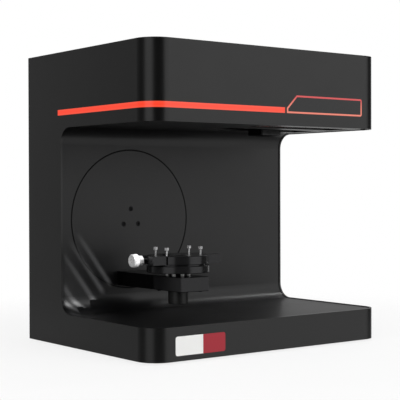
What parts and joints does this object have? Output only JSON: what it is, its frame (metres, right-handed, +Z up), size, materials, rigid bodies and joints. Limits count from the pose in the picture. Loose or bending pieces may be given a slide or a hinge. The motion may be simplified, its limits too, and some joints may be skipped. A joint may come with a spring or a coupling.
{
  "type": "desktop 3d scanner",
  "caption": "C-shaped desktop 3D scanner: lit overhanging head, open scanning space, and a tilting disc whose arm carries a rotary table with a screw clamp.",
  "frame": {"origin": "on the surface that the feet stand on, under the middle of the housing", "axes": "+Z up, +X to the right and +Y to the back, seen from the open front"},
  "size_m": [0.3972, 0.308, 0.403],
  "materials": {
    "powder_coat": "satin black powder coat",
    "black_anodised": "black anodised",
    "lit_acrylic": "orange-red lit acrylic",
    "label_white": "satin film",
    "label_red": "satin film",
    "polished_steel": "polished",
    "black_screw": "black oxide",
    "rubber": "matte",
    "motor_black": "satin",
    "bare_aluminium": "machined",
    "zinc_steel": "zinc plated",
    "lens_glass": "coated",
    "circuit_board": "solder mask",
    "black_plastic": "moulded"
  },
  "bodies": {
    "housing": {"badge_light": "lit_acrylic", "badge_plate": "powder_coat", "bearing_housing": "bare_aluminium", "board_posts": "bare_aluminium", "camera_lenses": "lens_glass", "case_screws": "black_screw", "column_posts": "zinc_steel", "controller_board": "circuit_board", "corner_blocks": "zinc_steel", "drive_belt": "rubber", "drive_plate": "bare_aluminium", "fan_frame": "black_plastic", "feet": "rubber", "floor_plate": "powder_coat", "front_camera": "black_anodised", "inner_liner": "powder_coat", "label_red": "label_red", "label_white": "label_white", "light_boards": "circuit_board", "light_guide": "lit_acrylic", "optics_plate": "bare_aluminium", "outer_wrap": "powder_coat", "power_inlet": "black_plastic", "power_supply": "zinc_steel", "projector": "black_anodised", "projector_hood": "powder_coat", "projector_lens": "lens_glass", "rear_camera": "black_anodised", "rear_panel": "powder_coat", "rear_panel_screws": "black_screw", "switch_frame": "black_plastic", "tilt_bearings": "polished_steel", "tilt_motor": "motor_black", "top_cover": "powder_coat", "usb_socket": "polished_steel"},
    "swing": {"tilt_disc": "powder_coat", "stage_screws": "black_screw", "tilt_shaft": "polished_steel", "tilt_pulley": "bare_aluminium", "shaft_collar": "bare_aluminium", "swing_arm": "black_anodised", "table_block": "black_anodised", "table_bearing": "polished_steel", "table_motor": "motor_black", "block_screws": "black_screw"},
    "motor_rotor": {"motor_shaft": "polished_steel", "motor_pulley": "bare_aluminium"},
    "turntable": {"table_spindle": "polished_steel", "table_platter": "black_anodised", "platter_bolts": "black_screw", "clamp_body": "black_anodised", "fixed_jaw": "black_anodised", "fixed_jaw_pins": "polished_steel"},
    "moving_jaw": {"moving_jaw": "black_anodised", "moving_jaw_pins": "polished_steel"},
    "thumbscrew": {"thumbscrew": "polished_steel", "thumbscrew_clip": "polished_steel"},
    "rocker": {"switch_rocker": "black_plastic"},
    "fan_rotor": {"fan_rotor": "black_plastic"}
  },
  "joints": [
    {"name": "disc_tilt", "type": "hinge", "parent": "housing", "child": "swing", "pos_m": [-0.0835, 0.0615, 0.1736], "axis": [0, 1, 0], "range_deg": [-60, 60]},
    {"name": "motor_turn", "type": "hinge", "parent": "housing", "child": "motor_rotor", "pos_m": [-0.01057, 0.08, 0.21917], "axis": [0, 1, 0], "range_deg": [-359.12, 359.12]},
    {"name": "table_turn", "type": "hinge", "parent": "swing", "child": "turntable", "pos_m": [-0.0835, -0.0526, 0.11], "axis": [0, 0, 1], "continuous": true},
    {"name": "thumbscrew_turn", "type": "hinge", "parent": "moving_jaw", "child": "thumbscrew", "pos_m": [-0.15, -0.0526, 0.1225], "axis": [1, 0, 0], "range_deg": [-2165, 5045]},
    {"name": "jaw_slide", "type": "slide", "parent": "turntable", "child": "moving_jaw", "axis": [1, 0, 0], "range_m": [-0.006, 0.014]},
    {"name": "rocker_press", "type": "hinge", "parent": "housing", "child": "rocker", "pos_m": [-0.072, 0.146, 0.043], "axis": [1, 0, 0], "range_deg": [0, 14]},
    {"name": "fan_spin", "type": "hinge", "parent": "housing", "child": "fan_rotor", "pos_m": [0.06, 0.142, 0.303], "axis": [0, 1, 0], "continuous": true}
  ],
  "couplings": [
    {"joint": "motor_turn", "follows": "disc_tilt", "ratio": 5.9688},
    {"joint": "thumbscrew_turn", "follows": "jaw_slide", "rad_per_m": 6283.2}
  ]
}
